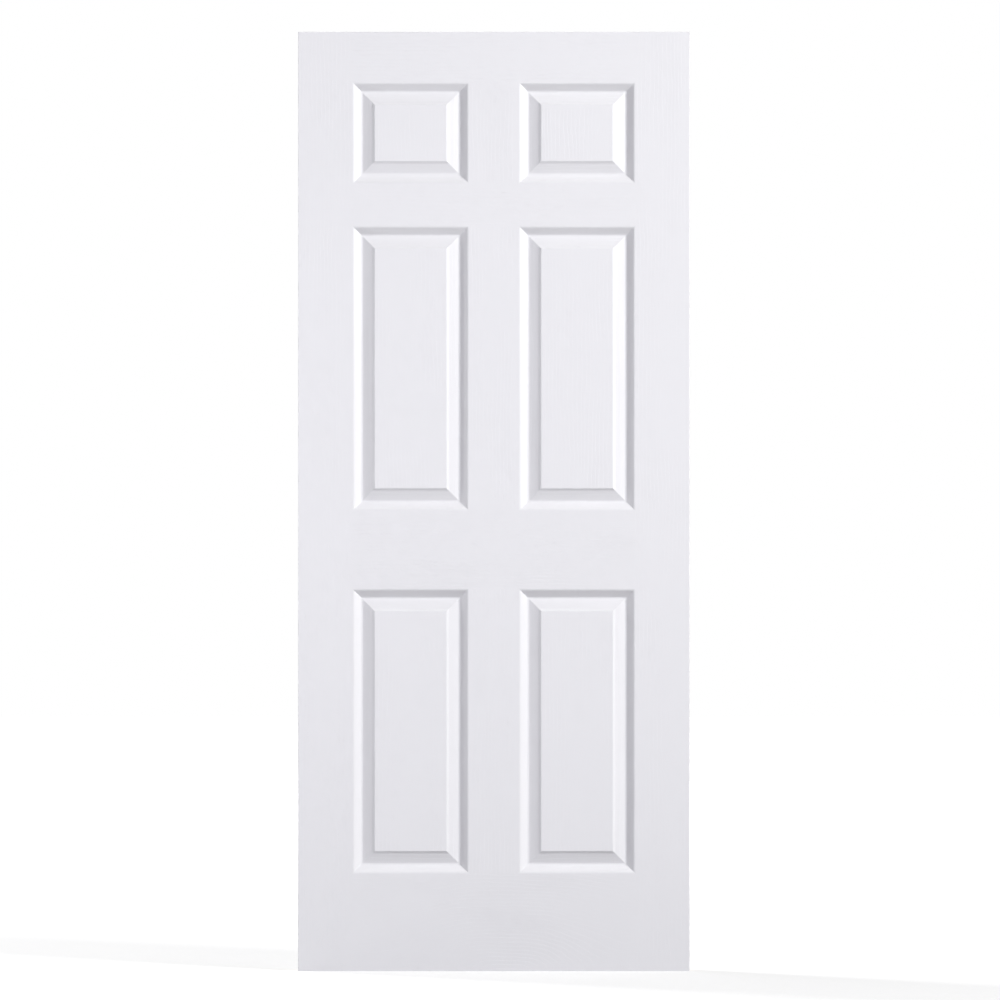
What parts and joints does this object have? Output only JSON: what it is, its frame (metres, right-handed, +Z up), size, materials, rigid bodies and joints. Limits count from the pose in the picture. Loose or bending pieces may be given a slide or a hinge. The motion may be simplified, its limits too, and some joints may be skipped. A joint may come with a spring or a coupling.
{
  "type": "six-panel steel door leaf",
  "caption": "Bare hinged-door leaf with two embossed raised-panel steel skins folded round a kerfed wooden frame, a foam core and a solid block for the lock.",
  "frame": {"origin": "middle of the leaf's bottom edge, half way through its thickness", "axes": "+Z up the leaf, +X across it from the hinge edge to the lock edge, +Y through it from the front face to the back face"},
  "size_m": [0.847, 0.0446, 2.032],
  "materials": {
    "painted_steel": "satin cool white paint over galvanised sheet with a pressed wood grain",
    "bare_pine": "planed, unpainted",
    "foam": "rigid polyurethane foam",
    "staple_wire": "galvanised wire"
  },
  "bodies": {
    "root": {"front_skin": "painted_steel", "back_skin": "painted_steel", "hinge_stile": "bare_pine", "lock_stile": "bare_pine", "top_rail": "bare_pine", "bottom_rail": "bare_pine", "lock_block": "bare_pine", "foam_core": "foam", "frame_staples": "staple_wire"}
  },
  "joints": []
}
